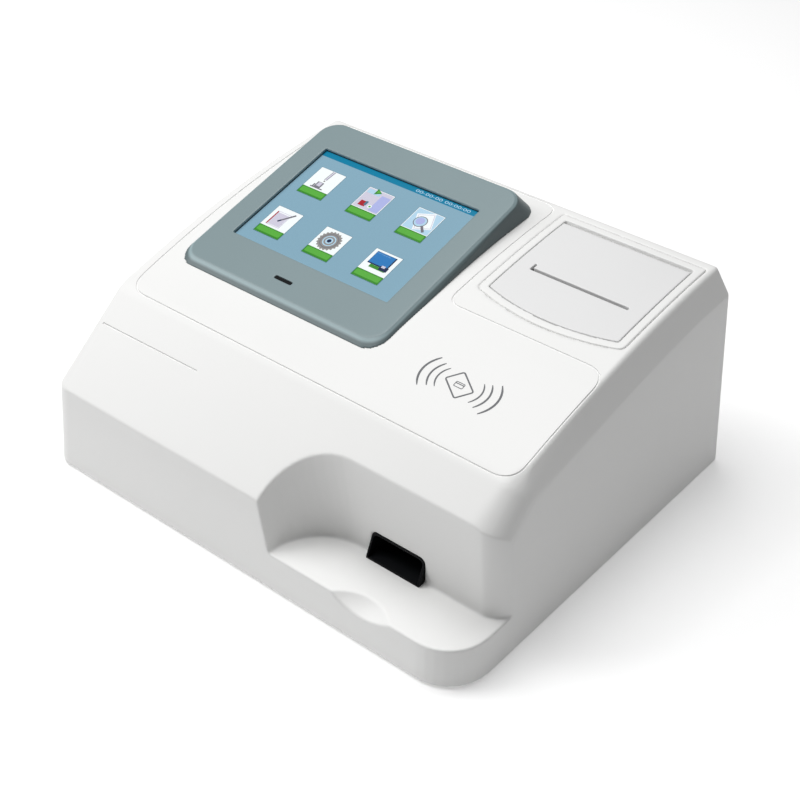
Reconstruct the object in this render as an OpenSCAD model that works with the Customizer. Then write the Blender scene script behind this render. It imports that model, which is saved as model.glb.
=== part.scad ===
// Benchtop immunofluorescence analyzer: a white wedge housing with a tilted touch screen,
// a paper printer under a hinged lid and a test card slot in a scooped recess.
// Millimetres. The front is at -Y, the right side at +X and the table at Z = 0.

/* [Housing] */
// Width of the housing at its bottom edge
body_w = 280; // [272:1:310]
// Depth of the housing at its bottom edge
body_d = 232; // [228:1:256]
// Thickness of the moulded walls
wall = 2.8; // [2.4:0.1:3.4]
// Height of the upright front face
front_h = 48; // [44:0.5:52]
// How far the front face leans back over its height
front_lean = 3.8; // [2:0.1:6]
// Distance from the front edge back to the crease above the apron
crease_back = 54.6; // [50:0.2:60]
// Height of the crease above the apron
crease_h = 87.6; // [84:0.2:92]
// Height of the crest at the rear
crest_h = 119.2; // [116:0.2:126]
// How far the crest lies in front of the rear face
crest_back = 4.2; // [3:0.2:7]
// Bulge of the crowned top above the chord from crease to crest
top_crown = 5.7; // [4:0.1:7]
// Inward lean of the side walls in degrees
side_lean = 3.8; // [2:0.1:5]
// Height of the band that bevels the top edges of the sides
band_h = 17; // [12:0.5:20]
// Inset of that band on the right side
band_in = 5.5; // [4:0.1:8]
// Inset of that band on the left side
band_left_in = 1; // [0.5:0.1:6]
// Radius of the top edges
edge_r = 3; // [1.5:0.1:4]
// Radius of the right end of the crease, where apron, top and side meet
nose_r = 14; // [8:0.5:18]
// Radius of the crease above the apron
crease_r = 20; // [10:1:30]
// Radius of the front left corner
corner_left_r = 11; // [6:0.5:14]
// Radius of the front right corner
corner_right_r = 24; // [20:0.5:30]
// Radius of the rear corners
corner_rear_r = 3; // [2.5:0.5:8]
// Gap between a lid or plate and the opening round it
seam = 0.4; // [0.3:0.05:0.6]
// Clearance of a shaft that turns or slides
run = 0.05; // [0.02:0.01:0.09]
// Height of the feet below the base plate
foot_drop = 2.5; // [2:0.1:5]
// How far the housing's edge reaches below the base plate
skirt = 1.3; // [0.5:0.1:1.6]

/* [Card recess] */
// Height of the ledge in front of the card slot
ledge_h = 20.4; // [18:0.2:24]
// Distance from the front edge back to the set-back wall
setback = 34.5; // [30:0.5:38]
// Radius of the set-back wall's corner at the right side
setback_r = 14; // [8:0.5:18]
// Width of the recess at the ledge, from the right side
recess_w = 118.5; // [114:0.5:124]
// How far that wall leans outward at its top
recess_lean = 15.5; // [11:0.5:17]
// Radius of the left wall at the ledge
recess_low_r = 32; // [26:0.5:34]
// Radius of the left wall at its top
recess_top_r = 42; // [36:0.5:46]
// Radius of the ball that scoops the finger notch out of the ledge
scoop_r = 36; // [32:0.5:40]
// Distance of the finger notch's middle from the right side
scoop_side = 60; // [56:0.5:64]
// Drop of the finger notch at the front face
scoop_down = 5.5; // [4:0.5:7]
// Distance of the card slot's middle from the right side
slot_side = 63.5; // [60:0.5:70]
// Width of the card slot
slot_w = 33; // [31:0.5:36]
// Height of the card slot
slot_h = 14.3; // [12:0.1:16]
// Wall of the black slot guide
guide_t = 1.2; // [1:0.1:1.6]
// Reach of the slot guide behind the set-back wall
guide_l = 12; // [9:0.5:14]
// Reach of the slot guide's lip over the ledge
guide_lip = 4.5; // [2:0.5:6]

/* [Screen] */
// Distance from the left side of the housing to the screen pad
pad_left = 19.8; // [18:0.1:22]
// Distance from the crease back to the front edge of the screen pad
pad_back = 26.8; // [25:0.2:30]
// Distance from the right side of the housing to the pad
pad_right = 116.6; // [115:0.1:118]
// Depth of the pad where it meets the housing
pad_d = 136; // [132:0.5:138]
// How much narrower the pad's face is than its foot
pad_in_w = 5.6; // [4:0.2:8]
// How much shorter the pad's face is than its foot
pad_in_l = 9.4; // [8:0.2:11]
// Height of the pad's face above the housing at its front edge
pad_rise = 2.7; // [2.2:0.1:4]
// Slope of the pad's face against the housing in degrees
pad_open = 4.9; // [4:0.1:6]
// Radius of the pad's corners
pad_r = 12; // [8:0.5:16]
// Bevel round the pad's face
pad_bevel = 1.5; // [0.8:0.1:2]
// Distance from the side of the pad's face to the window
window_side = 14.6; // [14:0.1:16]
// Distance from the window to the rear of the pad's face
window_rear = 22.1; // [21:0.1:24]
// Distance from the front of the pad's face to the window
window_front = 26; // [24:0.5:28]
// Depth of the glass below the pad's face
window_deep = 2; // [1.6:0.1:2.6]
// Thickness of the touch glass
glass_t = 1.8; // [1.1:0.1:2.4]
// Thickness of the display module
lcd_t = 6.7; // [5:0.1:8]
// Border of the display module round the window
lcd_border = 5.6; // [4:0.1:6]
// Thickness of the steel plate behind the display
plate_t = 1; // [0.8:0.1:1.5]
// Width of the status window
status_w = 12; // [8:0.5:16]
// Height of the status window
status_l = 2.2; // [1.6:0.1:3]
// Distance of the status window's middle from the middle of the pad, to the left
status_off = 4; // [0:0.5:8]

/* [Printer] */
// Distance of the printer's middle from the right side
printer_side = 60.3; // [59:0.1:61.5]
// Width of the printer's frame at the surface
frame_w = 87.4; // [86.6:0.2:88]
// Distance from the crest forward to the rear edge of the frame
frame_rear = 7; // [6:0.2:9]
// Depth of the frame from its rear edge to the front of the bow
frame_d = 82.6; // [81:0.2:84]
// Radius of the bowed front edge
bow_r = 134; // [120:1:160]
// Radius of the bowed edge's corners
bow_corner = 4; // [3:0.5:6]
// Width of the frame's rim round the lid
rim_w = 4.6; // [4.2:0.1:5]
// Thickness of the rim
rim_t = 2.2; // [1.8:0.1:2.6]
// Thickness of the lid
lid_t = 2.4; // [2:0.1:3]
// Radius of the barrel along the lid's rear edge
barrel_r = 3.2; // [2.8:0.1:3.6]
// Radius of the lid's hinge pin
pin_r = 1.5; // [1.2:0.1:1.8]
// Length of the paper slot
paper_slot_l = 59; // [58:0.5:62]
// Width of the paper slot
paper_slot_w = 1.8; // [1.4:0.1:2.4]
// Distance from the hinge forward to the paper slot
paper_slot_y = 41; // [39:0.5:43]
// Radius of the paper roll
roll_r = 16.5; // [12:0.5:16.5]
// Width of the paper roll
roll_w = 57; // [50:0.5:58]
// Radius of the bore in the roll
roll_bore = 6.5; // [5.5:0.1:7]
// Radius of the platen roller
platen_r = 5; // [4:0.1:5.4]
// Radius of the platen's shaft
platen_shaft_r = 2; // [1.5:0.1:2.4]
// Size of the gear teeth
gear_m = 0.6; // [0.5:0.05:0.65]
// Teeth of the platen gear
platen_teeth = 24; // [20:1:24]
// Teeth of the idler gear
idler_teeth = 40; // [36:1:40]
// Teeth of the motor pinion
pinion_teeth = 14; // [12:1:16]
// Thickness of the gears
gear_t = 3.4; // [2.4:0.1:3.6]

/* [Card transport] */
// Length of the card tray
tray_l = 60; // [56:1:64]
// Width of the card tray
tray_w = 27; // [26:0.5:29]
// Thickness of the card tray
tray_t = 3; // [2.4:0.1:3.6]
// Travel of the card tray
tray_travel = 45; // [35:1:48]
// Distance of each guide rod from the middle of the tray
rod_x = 21; // [20:0.5:24]
// Radius of the guide rods
rod_r = 2; // [1.5:0.1:2.5]
// Radius of the lead screw
screw_r = 2.5; // [2:0.1:3]
// Side of the square stepping motor
motor_w = 20; // [18:0.5:20]
// Length of the stepping motor
motor_l = 22; // [18:0.5:26]
// Height of the optical head
optics_h = 26; // [22:0.5:30]

/* [Base and rear] */
// Thickness of the base plate
base_t = 3; // [2.5:0.1:4]
// Radius of the rubber feet
foot_r = 9; // [7:0.5:10]
// Width of the connector panel's opening
panel_w = 192; // [188:1:196]
// Height of the connector panel's opening
panel_h = 32; // [31:0.5:34]
// Height of that opening above the bottom edge
panel_z = 13; // [12:0.5:15]
// Thickness of the connector panel
panel_t = 1.5; // [1:0.1:2]
// Tilt of the rocker at rest in degrees
rocker_tilt = 9; // [7:0.5:10]

/* [Hidden] */
$fn = 48;

eps = 0.01;
far = 400;
front_y = -body_d / 2;
rear_y = body_d / 2;
side_run = tan(side_lean);

// The crowned top is an arc from the crease to the crest, in [y, z]
crease = [front_y + crease_back, crease_h];
crest = [rear_y - crest_back, crest_h];
chord = crest - crease;
crown_r = (chord * chord / 4 + top_crown * top_crown) / (2 * top_crown);
crown_c = (crease + crest) / 2 - [-chord[1], chord[0]] / norm(chord) * (crown_r - top_crown);
apron_slope = (crease_h - front_h) / (crease_back - front_lean);
crown_steps = 14;
apron_up = [-apron_slope, 1] / norm([apron_slope, 1]);
crown_up = (crease - crown_c) / crown_r;
crease_up = (apron_up + crown_up) / norm(apron_up + crown_up);
crease_c = crease - crease_up * crease_r / (crease_up * crown_up);

function half_w(z) = body_w / 2 - z * side_run;
function crown_z(y) = crown_c[1] + sqrt(crown_r * crown_r - pow(y - crown_c[0], 2));
function crown_tilt(y) = -asin((y - crown_c[0]) / crown_r);

setback_y = front_y + setback;
recess_left = body_w / 2 - recess_w;
slot_x = body_w / 2 - slot_side;
printer_x = body_w / 2 - printer_side;
pad_w = body_w - pad_left - pad_right;
pad_x = (pad_left - pad_right) / 2;
pad_face_w = pad_w - pad_in_w;
pad_face_l = pad_d - pad_in_l;
window_w = pad_face_w - 2 * window_side;
window_l = pad_face_l - window_front - window_rear;
lip_z = front_h + apron_slope * (setback - front_lean);

// Everything but the feet is drawn with the housing's bottom edge at zero and lifted onto the feet
module lifted() translate([0, 0, foot_drop]) children();

// Turns a drawing of [y, z] into one that runs along X from x
module along_x(x = 0, y = 0, z = 0) translate([x, y, z]) rotate([90, 0, 90]) children();

// Rectangle from [x0, y0] to [x1, y1] with its own radius at each corner, front left first, anticlockwise
module corner_rect(x0, y0, x1, y1, radii) {
    corners = [[x0, y0, 1, 1], [x1, y0, -1, 1], [x1, y1, -1, -1], [x0, y1, 1, -1]];
    difference() {
        translate([x0, y0]) square([x1 - x0, y1 - y0]);
        for (i = [0:3])
            translate([corners[i][0], corners[i][1]]) mirror([corners[i][2] < 0 ? 1 : 0, 0])
                mirror([0, corners[i][3] < 0 ? 1 : 0]) difference() {
                    translate([-eps, -eps]) square(radii[i] + eps);
                    translate([radii[i], radii[i]]) circle(radii[i]);
                }
    }
}

// The space under the crowned top between two depths below it
module crown_slab(top, bottom) {
    along_x(-far / 2) linear_extrude(far) intersection() {
        translate([crease[0] - crease_back, 0]) square([body_d + crease_back, 2 * crest_h]);
        translate(crown_c) difference() {
            circle(crown_r - top, $fn = 360);
            circle(crown_r - bottom, $fn = 360);
        }
    }
}

// All that lies under the crowned top
module under_crown(top) {
    along_x(-far / 2) linear_extrude(far) intersection() {
        translate([crease[0], -crest_h]) square([body_d, 3 * crest_h]);
        translate(crown_c) circle(crown_r - top, $fn = 360);
    }
}

// The wedge with its apron, crowned top and bevelled side edges, drawn in by g all round
module wedge(g) {
    er = max(edge_r - g, 0.8);
    levels = [[g > 0 ? -skirt - 1 : -skirt, 0], [front_h - g * (sqrt(1 + apron_slope * apron_slope) - apron_slope), 1]];
    radii = [corner_left_r, corner_right_r, corner_rear_r, corner_rear_r];
    y_last = crest[0] - g - er;
    hull() {
        for (level = levels) {
            x = half_w(level[0]) - g;
            ends = [front_y + front_lean * level[1] + g, rear_y - g];
            for (i = [0:3]) {
                r = max(radii[i] - g, 0.8);
                left = i == 0 || i == 3;
                front = i < 2;
                translate([left ? r - x : x - r, front ? ends[0] + r : ends[1] - r, level[0]])
                    cylinder(r = r, h = 0.2, $fn = 32);
            }
        }
        // The crease is rounded, and the crown follows its arc
        for (turn = [apron_up, crease_up, crown_up])
            edge_pair(-1, crease_c + (crease_r - g - er) * turn, crease_h - band_h, g, er, 0);
        nose(g, max(nose_r - g, 0.8));
        for (i = [1:crown_steps], side = [-1, 1]) {
            y = crease[0] + (y_last - crease[0]) * i / crown_steps;
            up = ([y, crown_z(y)] - crown_c) / crown_r;
            edge_pair(side, crown_c + (crown_r - g - er) * up, crown_z(y) - band_h, g, er,
                i == crown_steps ? crest_back : 0);
        }
    }
}

// The round right end of the crease
module nose(g, r) {
    for (turn = [apron_up, crown_up]) {
        at = crease_c + (crease_r - g - r) * turn;
        translate([half_w(at[1]) - (r + g) / cos(side_lean), at[0], at[1]]) sphere(r, $fn = 40);
    }
}

// One ball on the top edge, at [y, z], and one on the shoulder below it
module edge_pair(side, at, shoulder_z, g, er, back) {
    x = half_w(shoulder_z) - g - er;
    translate([side * (x - (side > 0 ? band_in : band_left_in)), at[0], at[1]]) sphere(er, $fn = 12);
    translate([side * x, at[0] + back, shoulder_z]) sphere(er, $fn = 12);
}

// The scooped recess at the front right, grown by g all round
module recess(g) {
    floor_z = ledge_h - g;
    block_x = recess_left + recess_low_r;
    tall = crest_h - floor_z;
    top_z = lip_z + front_h;
    hull() {
        translate([block_x, setback_y - recess_low_r, floor_z]) cylinder(r = recess_low_r + g, h = eps);
        translate([recess_left - recess_lean + recess_top_r, setback_y - recess_top_r, lip_z])
            cylinder(r = recess_top_r + g, h = front_h);
        translate([block_x + recess_top_r, front_y - setback, floor_z])
            cube([body_w, 2 * setback + g, top_z - floor_z]);
    }
    // The wall's corner leans with the side
    intersection() {
        translate([0, front_y, floor_z]) cube([body_w, body_d, tall]);
        translate([half_w(ledge_h) - setback_r + 0.5, setback_y + setback_r - 0.3, ledge_h]) rotate([0, -side_lean, 0])
            translate([0, 0, -setback_r]) linear_extrude(tall + setback_r) difference() {
                translate([0, g - setback_r - eps]) square([2 * setback_r, setback_r - g + eps]);
                circle(setback_r - g);
            }
    }
}

// The ball that scoops the finger notch, grown by g
scoop_front = front_y + front_lean * ledge_h / front_h;
module scoop(g) {
    ball_z = ledge_h - scoop_down + sqrt(scoop_r * scoop_r - pow(scoop_r * 0.4, 2));
    ball_y = scoop_front - scoop_r * 0.4;
    translate([body_w / 2 - scoop_side, ball_y, ball_z]) sphere(scoop_r + g);
}

// Bow-fronted outline of the printer, drawn in by g
frame_back = crest[0] - frame_rear;
bow_c = [printer_x, frame_back - frame_d + bow_r];
bow_steps = 20;
corner_steps = 5;
function bow_outline(g) =
    let (r = bow_r - g, rc = max(bow_corner - g, 1), x = frame_w / 2 - g - rc)
    let (y = -sqrt(pow(r - rc, 2) - x * x), turn = atan2(y, x))
    concat(
        [[printer_x - frame_w / 2 + g, frame_back - g], [printer_x + frame_w / 2 - g, frame_back - g]],
        [for (i = [0:corner_steps]) let (a = turn * i / corner_steps)
            bow_c + [x + rc * cos(a), y + rc * sin(a)]],
        [for (i = [1:bow_steps - 1]) let (a = turn - (180 + 2 * turn) * i / bow_steps) bow_c + r * [cos(a), sin(a)]],
        [for (i = [0:corner_steps]) let (a = -180 - turn * (1 - i / corner_steps))
            bow_c + [rc * cos(a) - x, y + rc * sin(a)]]
    );
module bow_prism(g, z0 = 0) translate([0, 0, z0]) linear_extrude(2 * crest_h - z0) polygon(bow_outline(g));

// Screws, feet and bosses under the housing
boss_h = 11;
boss_r = 4;
screw_hole_r = 1.5;
screw_head_r = 3;
screw_head_h = 1.6;
screw_x = body_w / 2 - 14;
screw_y = [setback_y + 3.5, rear_y - 22];
foot_x = body_w / 2 - 30;
foot_y = [front_y + 27, rear_y - 27];
foot_in = 1;

// The raised ring that the printer's rim rests on
seat_t = 2.5;
seat_w = 2;
module printer_seat() intersection() {
    crown_slab(rim_t / 2, rim_t + seat_t + wall);
    difference() {
        bow_prism(-seat_w, crest_h / 2);
        bow_prism(seat_w, 0);
    }
}

// Frame of the screen pad: the front edge of its face in the middle, with Y up the slope
pad_y = crease[0] + pad_back;
chord_tilt = atan2(crown_z(pad_y + pad_d) - crown_z(pad_y), pad_d);
pad_tilt = chord_tilt + pad_open;
module pad_space() translate([pad_x, pad_y, crown_z(pad_y) + pad_rise]) rotate([pad_tilt, 0, 0]) children();
face_front = 3.6;
window_v = face_front + window_front;
pocket_w = window_w + 2 * lcd_border;
pocket_v = window_v - lcd_border;
pocket_l = window_l + 2 * lcd_border;
skirt_t = 2;
skirt_deep = window_deep + glass_t + lcd_t;
module pad_block(w, v, l, low, high) translate([-w / 2, v, low]) cube([w, l, high - low]);

// Vents in the rear wall
vent_count = 9;
vent_w = 2.4;
vent_pitch = 6;
vent_h = 26;
vent_z = panel_z + panel_h + 16;
vent_x = -100;

module upper_housing() color("white") lifted() difference() {
    union() {
        difference() {
            wedge(0);
            recess(0);
            scoop(0);
            difference() {
                wedge(wall);
                recess(wall);
                scoop(wall);
            }
        }
        printer_seat();
        for (side = [-1, 1], y = screw_y) {
            translate([side * screw_x, y, base_t]) cylinder(r = boss_r, h = boss_h);
            translate([side > 0 ? screw_x : -half_w(base_t + boss_h) + wall / 2, y - wall / 3, base_t])
                cube([half_w(base_t + boss_h) - wall / 2 - screw_x, 2 * wall / 3, boss_h]);
        }
    }
    intersection() {
        crown_slab(-far / 20, rim_t);
        bow_prism(0, crest_h / 2);
    }
    bow_prism(seat_w, crest_h / 2);
    pad_space() pad_block(pocket_w + 2 * skirt_t + 2 * seam, pocket_v - skirt_t - seam,
        pocket_l + 2 * skirt_t + 2 * seam, -4 * skirt_deep, skirt_deep);
    slot_prism(slot_w / 2, 0, slot_h, setback_y - wall, 3 * wall);
    translate([-panel_w / 2 + panel_x, rear_y - 2 * wall, panel_z]) cube([panel_w, 3 * wall, panel_h]);
    for (i = [0:vent_count - 1])
        translate([vent_x + i * vent_pitch, rear_y - 2 * wall, vent_z]) cube([vent_w, 3 * wall, vent_h]);
    for (side = [-1, 1], y = screw_y)
        translate([side * screw_x, y, base_t - eps]) cylinder(r = screw_hole_r + run, h = boss_h - wall);
}

// Card slot outline from the ledge up, with round upper corners, running back from y
slot_r = 3;
module slot_prism(half, low, high, y, l)
    translate([slot_x, y + l, ledge_h]) rotate([90, 0, 0]) linear_extrude(l)
        corner_rect(-half, low, half, high, [eps, eps, slot_r, slot_r]);

module card_slot_guide() color("#141416") lifted() difference() {
    union() {
        slot_prism(slot_w / 2 - run, run, slot_h - run, setback_y, guide_l);
        slot_prism(slot_w / 2 - run, run, guide_t, setback_y - guide_lip, guide_lip + eps);
        for (x = [run - slot_w / 2, slot_w / 2 - run - guide_t]) translate([slot_x + x, setback_y, ledge_h]) hull() {
            translate([0, -guide_lip, run]) cube([guide_t, guide_lip + eps, guide_t]);
            translate([0, 0, slot_h - slot_r - guide_t]) cube([guide_t, eps, guide_t]);
        }
    }
    slot_prism(slot_w / 2 - guide_t, guide_t, slot_h - guide_t, setback_y - setback, 2 * setback);
}

// Base plate with feet pockets, screw holes and standoffs
base_gap = 0.6;
standoff_r = 3;
board_t = 1.6;
board_z = base_t + 6;
board_w = body_w * 0.52;
board_d = body_d * 0.4;
board_in = 6;
board_at = [-body_w / 2 + 22, front_y + body_d * 0.18];
supply_w = 62;
supply_d = body_d * 0.24;
supply_at = [-body_w / 2 + 14, rear_y - wall - panel_t - 30 - supply_d];
io_w = 100;
io_d = 34;
io_z = panel_z + 3;
panel_x = panel_w / 2 + 14 - body_w / 2;
io_at = [panel_x + panel_w / 2 - io_w - 14, rear_y - wall - panel_t - 2 - io_d];
function board_holes(at, w, d) =
    [for (x = [board_in, w - board_in], y = [board_in, d - board_in]) [at[0] + x, at[1] + y]];

module standoffs(at, w, d, top)
    for (p = board_holes(at, w, d)) translate([p[0], p[1], base_t - eps]) cylinder(r = standoff_r, h = top - base_t + eps);

module base_plate() color("whitesmoke") lifted() difference() {
    union() {
        g = wall + base_gap;
        linear_extrude(base_t) corner_rect(g - body_w / 2, front_y + g, body_w / 2 - g, rear_y - g,
            [for (r = [corner_left_r, corner_right_r, corner_rear_r, corner_rear_r]) max(r - g, 0.8)]);
        standoffs(board_at, board_w, board_d, board_z);
        standoffs(supply_at, supply_w, supply_d, board_z);
        standoffs(io_at, io_w, io_d, io_z);
    }
    for (side = [-1, 1], y = screw_y) translate([side * screw_x, y, 0]) {
        translate([0, 0, -eps]) cylinder(r = screw_hole_r + 4 * run, h = 2 * base_t);
        translate([0, 0, -eps]) cylinder(r = screw_head_r + 4 * run, h = screw_head_h + eps);
    }
    for (side = [-1, 1], y = foot_y) translate([side * foot_x, y, -eps]) cylinder(r = foot_r + run, h = foot_in + eps);
}

module base_screws() color("silver") lifted() for (side = [-1, 1], y = screw_y) translate([side * screw_x, y, 0]) {
    cylinder(r = screw_head_r, h = screw_head_h);
    cylinder(r = screw_hole_r, h = base_t + boss_h - 2 * wall);
}

module foot(side, y) color("#202020") translate([side * foot_x, y, 0]) cylinder(r = foot_r, h = foot_drop + foot_in);
module foot_front_left() foot(-1, foot_y[0]);
module foot_front_right() foot(1, foot_y[0]);
module foot_rear_left() foot(-1, foot_y[1]);
module foot_rear_right() foot(1, foot_y[1]);

// Screen pad
module pad_plate(w, v, l, level, r) translate([0, 0, level]) linear_extrude(eps)
    corner_rect(-w / 2, v, w / 2, v + l, [r, r, r, r]);

module screen_bezel() color("#6f8793") lifted() difference() {
    union() {
        difference() {
            hull() {
                pad_space() pad_plate(pad_face_w - 2 * pad_bevel, face_front + pad_bevel, pad_face_l - 2 * pad_bevel,
                    -eps, pad_r - pad_bevel, $fn = 32);
                pad_space() pad_plate(pad_face_w, face_front, pad_face_l, -pad_bevel, pad_r, $fn = 32);
                translate([pad_x, pad_y, crown_z(pad_y)]) rotate([chord_tilt, 0, 0])
                    pad_plate(pad_w, 0, pad_d / cos(chord_tilt), -eps, pad_r, $fn = 32);
            }
            under_crown(0);
        }
        pad_space() pad_block(pocket_w + 2 * skirt_t, pocket_v - skirt_t, pocket_l + 2 * skirt_t, -skirt_deep, -pad_bevel);
    }
    pad_space() {
        pad_block(pocket_w, pocket_v, pocket_l, -2 * skirt_deep, -window_deep);
        pad_block(pocket_w + 2 * skirt_t + 2 * seam, pocket_v - skirt_t - seam, pocket_l + 2 * skirt_t + 2 * seam,
            -2 * skirt_deep, -skirt_deep);
        pad_block(window_w, window_v, window_l, -skirt_deep, skirt_deep);
        translate([-status_off, 0, 0]) pad_block(status_w, status_v, status_l, -status_deep, status_deep);
    }
}
status_deep = 1.5;
status_v = face_front + window_front * 0.4;

module status_window() color("#0c1014") lifted() pad_space() translate([-status_off, 0, 0])
    pad_block(status_w - 2 * run, status_v + run, status_l - 2 * run, -status_deep, -status_deep / 3);

module touch_glass() color("#84aec6") lifted() pad_space()
    pad_block(pocket_w - 2 * seam, pocket_v + seam, pocket_l - 2 * seam, -window_deep - glass_t, -window_deep);

module display_module() color("dimgray") lifted() pad_space()
    pad_block(pocket_w - 4 * seam, pocket_v + 2 * seam, pocket_l - 4 * seam, -skirt_deep, -window_deep - glass_t);

plate_screw_r = 2.5;
module display_plate() color("silver") lifted() pad_space() difference() {
    pad_block(pocket_w + 2 * skirt_t, pocket_v - skirt_t, pocket_l + 2 * skirt_t, -skirt_deep - plate_t, -skirt_deep);
    pad_block(pocket_w / 2, pocket_v + pocket_l / 4, pocket_l / 2, -2 * skirt_deep, 0);
}

module display_screws() color("gray") lifted() pad_space() for (side = [-1, 1], v = [0, 1])
    translate([side * (pocket_w / 2 - plate_screw_r), pocket_v + plate_screw_r + v * (pocket_l - 2 * plate_screw_r),
        -skirt_deep - plate_t - plate_screw_r / 2]) cylinder(r = plate_screw_r, h = plate_screw_r / 2);

// Printer: the hinge, the bin, the roll and the print works, in [y, z]
lid_g = rim_w + seam;
hinge = [frame_back - rim_w - seam - barrel_r, crown_z(frame_back - rim_w - seam - barrel_r) - barrel_r];
lid_x0 = printer_x - frame_w / 2 + lid_g;
lid_x1 = printer_x + frame_w / 2 - lid_g;
slot_at = hinge[0] - paper_slot_y;
bin_t = 2.4;
bin_x0 = lid_x0 - seam;
bin_x1 = lid_x1 + seam;
roll_r_max = 16.5;
roll_at = [hinge[0] - roll_r_max - 0.5, crown_z(hinge[0] - roll_r_max) - roll_r_max - 15.5];
bin_floor = roll_at[1] - roll_r_max - 1.5;
platen_at = [slot_at + platen_r + 0.4, crown_z(slot_at) - 12.4];
cheek_t = 2;
cheek_x0 = printer_x - paper_slot_l / 2 - 2 - cheek_t;
cheek_x1 = printer_x + paper_slot_l / 2 + 2;
gear_x = cheek_x1 + cheek_t + 0.8;
motor_r = 7.5;
spindle_r = 2.5;
stud_r = 1.5;
stop_t = 2.5;
wall_y = slot_at - 9;
motor_at = [wall_y - motor_r - 0.5, bin_floor + motor_r + 5.5];

// Gear train from the platen to the motor, each axis found from the two pitch circles round it
platen_pr = platen_teeth * gear_m / 2;
idler_pr = idler_teeth * gear_m / 2;
pinion_pr = pinion_teeth * gear_m / 2;
to_motor = motor_at - platen_at;
train_l = norm(to_motor);
train_a = platen_pr + idler_pr;
train_b = idler_pr + pinion_pr;
idler_turn = atan2(to_motor[1], to_motor[0])
    + acos((train_a * train_a + train_l * train_l - train_b * train_b) / (2 * train_a * train_l));
idler_at = platen_at + train_a * [cos(idler_turn), sin(idler_turn)];
pinion_turn = atan2(motor_at[1] - idler_at[1], motor_at[0] - idler_at[0]);

// Phase of a gear that meshes with one of phase p, seen along the line of centres
function mesh_phase(line, p, teeth, next) = line + 180 - (p - line) * teeth / next + 180 / next;
idler_phase = mesh_phase(idler_turn, 0, platen_teeth, idler_teeth);
pinion_phase = mesh_phase(pinion_turn, idler_phase, idler_teeth, pinion_teeth);

// Spur gear with straight-sided teeth and backlash
tooth_root = 0.30;
tooth_tip = 0.13;
module gear(teeth, bore, phase) {
    pr = teeth * gear_m / 2;
    pitch = 360 / teeth;
    difference() {
        linear_extrude(gear_t) rotate(phase) polygon([for (i = [0:teeth - 1], p = [
            [pr - 1.25 * gear_m, -tooth_root], [pr + 0.85 * gear_m, -tooth_tip],
            [pr + 0.85 * gear_m, tooth_tip], [pr - 1.25 * gear_m, tooth_root]])
            p[0] * [cos((i + p[1]) * pitch), sin((i + p[1]) * pitch)]]);
        translate([0, 0, -eps]) cylinder(r = bore, h = gear_t + 2 * eps);
    }
}

module cheek() difference() {
    union() {
        translate([wall_y - 24, bin_floor - eps]) square([hinge[0] - wall_y + 22, platen_at[1] - bin_floor - 3]);
        translate([wall_y - eps, bin_floor]) square([platen_at[0] + platen_r - wall_y, platen_at[1] + 4 - bin_floor]);
    }
    translate(platen_at) circle(platen_shaft_r + run);
    translate(roll_at) circle(spindle_r + run);
    translate([roll_at[0] - spindle_r - run, roll_at[1]]) square([2 * spindle_r + 2 * run, far]);
}

module printer_frame() color("#f1f1ef") lifted() difference() {
    union() {
        // Rim flush with the housing, stops under the lid, walls and floor of the bin
        intersection() {
            crown_slab(0, rim_t);
            difference() {
                bow_prism(seam / 2, 0);
                bow_prism(rim_w, 0);
            }
        }
        difference() {
            intersection() {
                under_crown(rim_t / 2);
                difference() {
                    bow_prism(rim_w - bin_t, bin_floor - bin_t);
                    bow_prism(rim_w, bin_floor);
                }
            }
            difference() {
                bow_prism(-rim_w, 0);
                bow_prism(rim_w - bin_t, 0);
            }
        }
        intersection() {
            crown_slab(lid_t + seam, lid_t + seam + stop_t);
            translate([0, -hinge[0] + 2 * slot_at, 0]) translate([bin_x0 - eps, 0, 0])
                cube([bin_x1 - bin_x0 + 2 * eps, hinge[0] - slot_at - 2 * barrel_r, far]);
            difference() {
                bow_prism(rim_w - eps, 0);
                bow_prism(rim_w + stop_t, 0);
            }
        }
        for (x = [cheek_x0, cheek_x1]) along_x(x) linear_extrude(cheek_t) cheek();
        translate([cheek_x0, wall_y, bin_floor - eps]) cube([cheek_x1 - cheek_x0 + eps, 3, platen_at[1] + 4 - bin_floor]);
        along_x(cheek_x1 + cheek_t - eps, idler_at[0], idler_at[1]) cylinder(r = stud_r, h = gear_t + 1.6);
    }
    along_x(bin_x0 - bin_t + 0.4, hinge[0], hinge[1]) cylinder(r = pin_r + run / 2, h = bin_x1 - bin_x0 + 2 * bin_t - 0.8);
    along_x(cheek_x1 - eps, motor_at[0], motor_at[1]) cylinder(r = stud_r, h = cheek_t + 2 * eps);
}

module printer_lid() color("#ebebea") lifted() difference() {
    union() {
        intersection() {
            crown_slab(0, lid_t);
            difference() {
                bow_prism(lid_g, 0);
                translate([0, hinge[0], 0]) cube(far);
            }
        }
        along_x(lid_x0, hinge[0], hinge[1]) cylinder(r = barrel_r, h = lid_x1 - lid_x0);
        // Guide that leads the paper up into the slot
        intersection() {
            crown_slab(lid_t / 2, lid_t + 2.2);
            translate([printer_x - paper_slot_l / 2 - 1.5, slot_at - 1.5 - paper_slot_w / 2, 0])
                cube([paper_slot_l + 3, paper_slot_w + 3, far]);
        }
    }
    along_x(lid_x0 - eps, hinge[0], hinge[1]) cylinder(r = pin_r + run, h = lid_x1 - lid_x0 + 2 * eps);
    translate([printer_x - paper_slot_l / 2, slot_at - paper_slot_w / 2, 0]) cube([paper_slot_l, paper_slot_w, far]);
    translate([printer_x - paper_slot_l / 2, slot_at - paper_slot_w / 2, 0]) cube([paper_slot_w * 0.6, paper_slot_w * 3, far]);
}

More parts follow.
